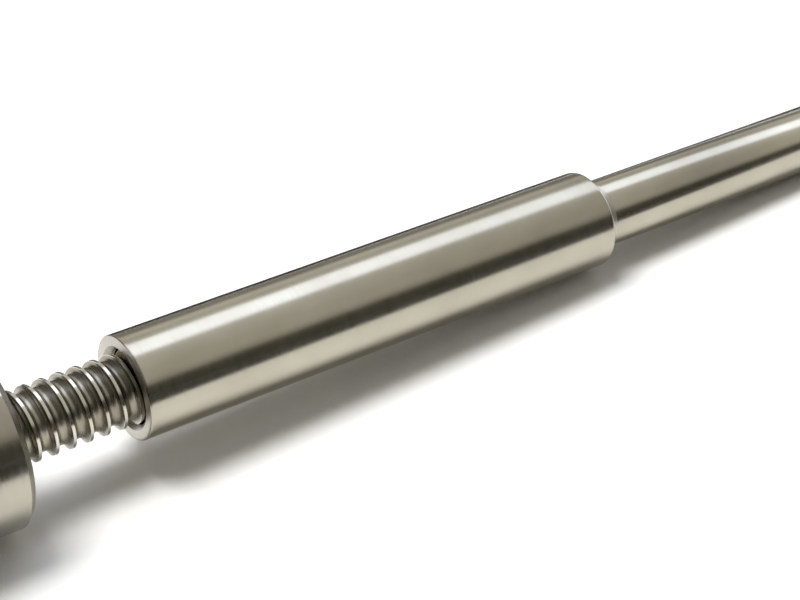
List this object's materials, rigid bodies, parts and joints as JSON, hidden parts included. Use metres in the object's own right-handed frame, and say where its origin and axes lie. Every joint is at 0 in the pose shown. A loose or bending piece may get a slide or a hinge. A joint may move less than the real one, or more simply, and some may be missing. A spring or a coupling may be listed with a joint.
{
  "type": "ball screw assembly",
  "caption": "Miniature ball screw: threaded shaft with flanged ball nut, pressed-on journal sleeve, plain rod end, and a fixed-end ball bearing with collar and lock nut.",
  "frame": {"origin": "centre of the support bearing, on the screw axis", "axes": "+X along the screw axis from the support bearing towards the plain rod, +Z square to the flats of the nut's flange, towards the flat with the grease port"},
  "size_m": [0.1944, 0.037, 0.024],
  "materials": {
    "thread_steel": "ground and polished hardened steel, fine turned lines",
    "ground_steel": "cylindrically ground steel with fine circumferential lines",
    "nut_steel": "ground hardened steel, slightly warm grey",
    "deflector_polymer": "moulded acetal, natural white",
    "wiper_polymer": "moulded black polymer wiper",
    "spring_steel": "phosphated spring steel",
    "black_steel": "black oxide steel",
    "bearing_steel": "ground bearing steel",
    "ball_steel": "polished chrome steel",
    "shield_steel": "pressed stainless sheet",
    "cage_brass": "machined brass"
  },
  "bodies": {
    "bearing_housing_side": {"bearing_outer_ring": "bearing_steel", "bearing_shield_left": "shield_steel", "bearing_shield_right": "shield_steel"},
    "screw": {"screw_shaft": "thread_steel", "journal_sleeve": "ground_steel", "bearing_inner_ring": "bearing_steel", "bearing_collar": "bearing_steel", "lock_nut": "black_steel", "lock_nut_grub_screw": "spring_steel"},
    "nut": {"nut_body": "nut_steel", "return_deflector_1": "deflector_polymer", "return_deflector_2": "deflector_polymer", "nut_ball_1_01": "ball_steel", "nut_ball_1_02": "ball_steel", "nut_ball_1_03": "ball_steel", "nut_ball_1_04": "ball_steel", "nut_ball_1_05": "ball_steel", "nut_ball_1_06": "ball_steel", "nut_ball_1_07": "ball_steel", "nut_ball_1_08": "ball_steel", "nut_ball_1_09": "ball_steel", "nut_ball_1_10": "ball_steel", "nut_ball_1_11": "ball_steel", "nut_ball_1_12": "ball_steel", "nut_ball_1_13": "ball_steel", "nut_ball_2_01": "ball_steel", "nut_ball_2_02": "ball_steel", "nut_ball_2_03": "ball_steel", "nut_ball_2_04": "ball_steel", "nut_ball_2_05": "ball_steel", "nut_ball_2_06": "ball_steel", "nut_ball_2_07": "ball_steel", "nut_ball_2_08": "ball_steel", "nut_ball_2_09": "ball_steel", "nut_ball_2_10": "ball_steel", "nut_ball_2_11": "ball_steel", "nut_ball_2_12": "ball_steel", "nut_ball_2_13": "ball_steel", "nut_wiper_left": "wiper_polymer", "nut_wiper_right": "wiper_polymer", "wiper_circlip_left": "spring_steel", "wiper_circlip_right": "spring_steel", "grease_port_plug": "black_steel"},
    "cage": {"bearing_cage": "cage_brass", "bearing_ball_1": "ball_steel", "bearing_ball_2": "ball_steel", "bearing_ball_3": "ball_steel", "bearing_ball_4": "ball_steel", "bearing_ball_5": "ball_steel", "bearing_ball_6": "ball_steel", "bearing_ball_7": "ball_steel"}
  },
  "joints": [
    {"name": "screw_spin", "type": "hinge", "parent": "bearing_housing_side", "child": "screw", "pos_m": [0, 0, 0], "axis": [1, 0, 0], "range_deg": [-2540, 5420]},
    {"name": "nut_slide", "type": "slide", "parent": "bearing_housing_side", "child": "nut", "axis": [1, 0, 0], "range_m": [-0.03, 0.014]},
    {"name": "cage_spin", "type": "hinge", "parent": "bearing_housing_side", "child": "cage", "pos_m": [0, 0, 0], "axis": [1, 0, 0], "range_deg": [-1010, 2150]}
  ],
  "couplings": [
    {"joint": "screw_spin", "follows": "nut_slide", "rad_per_m": -3141.6},
    {"joint": "cage_spin", "follows": "nut_slide", "rad_per_m": -1245.6}
  ]
}
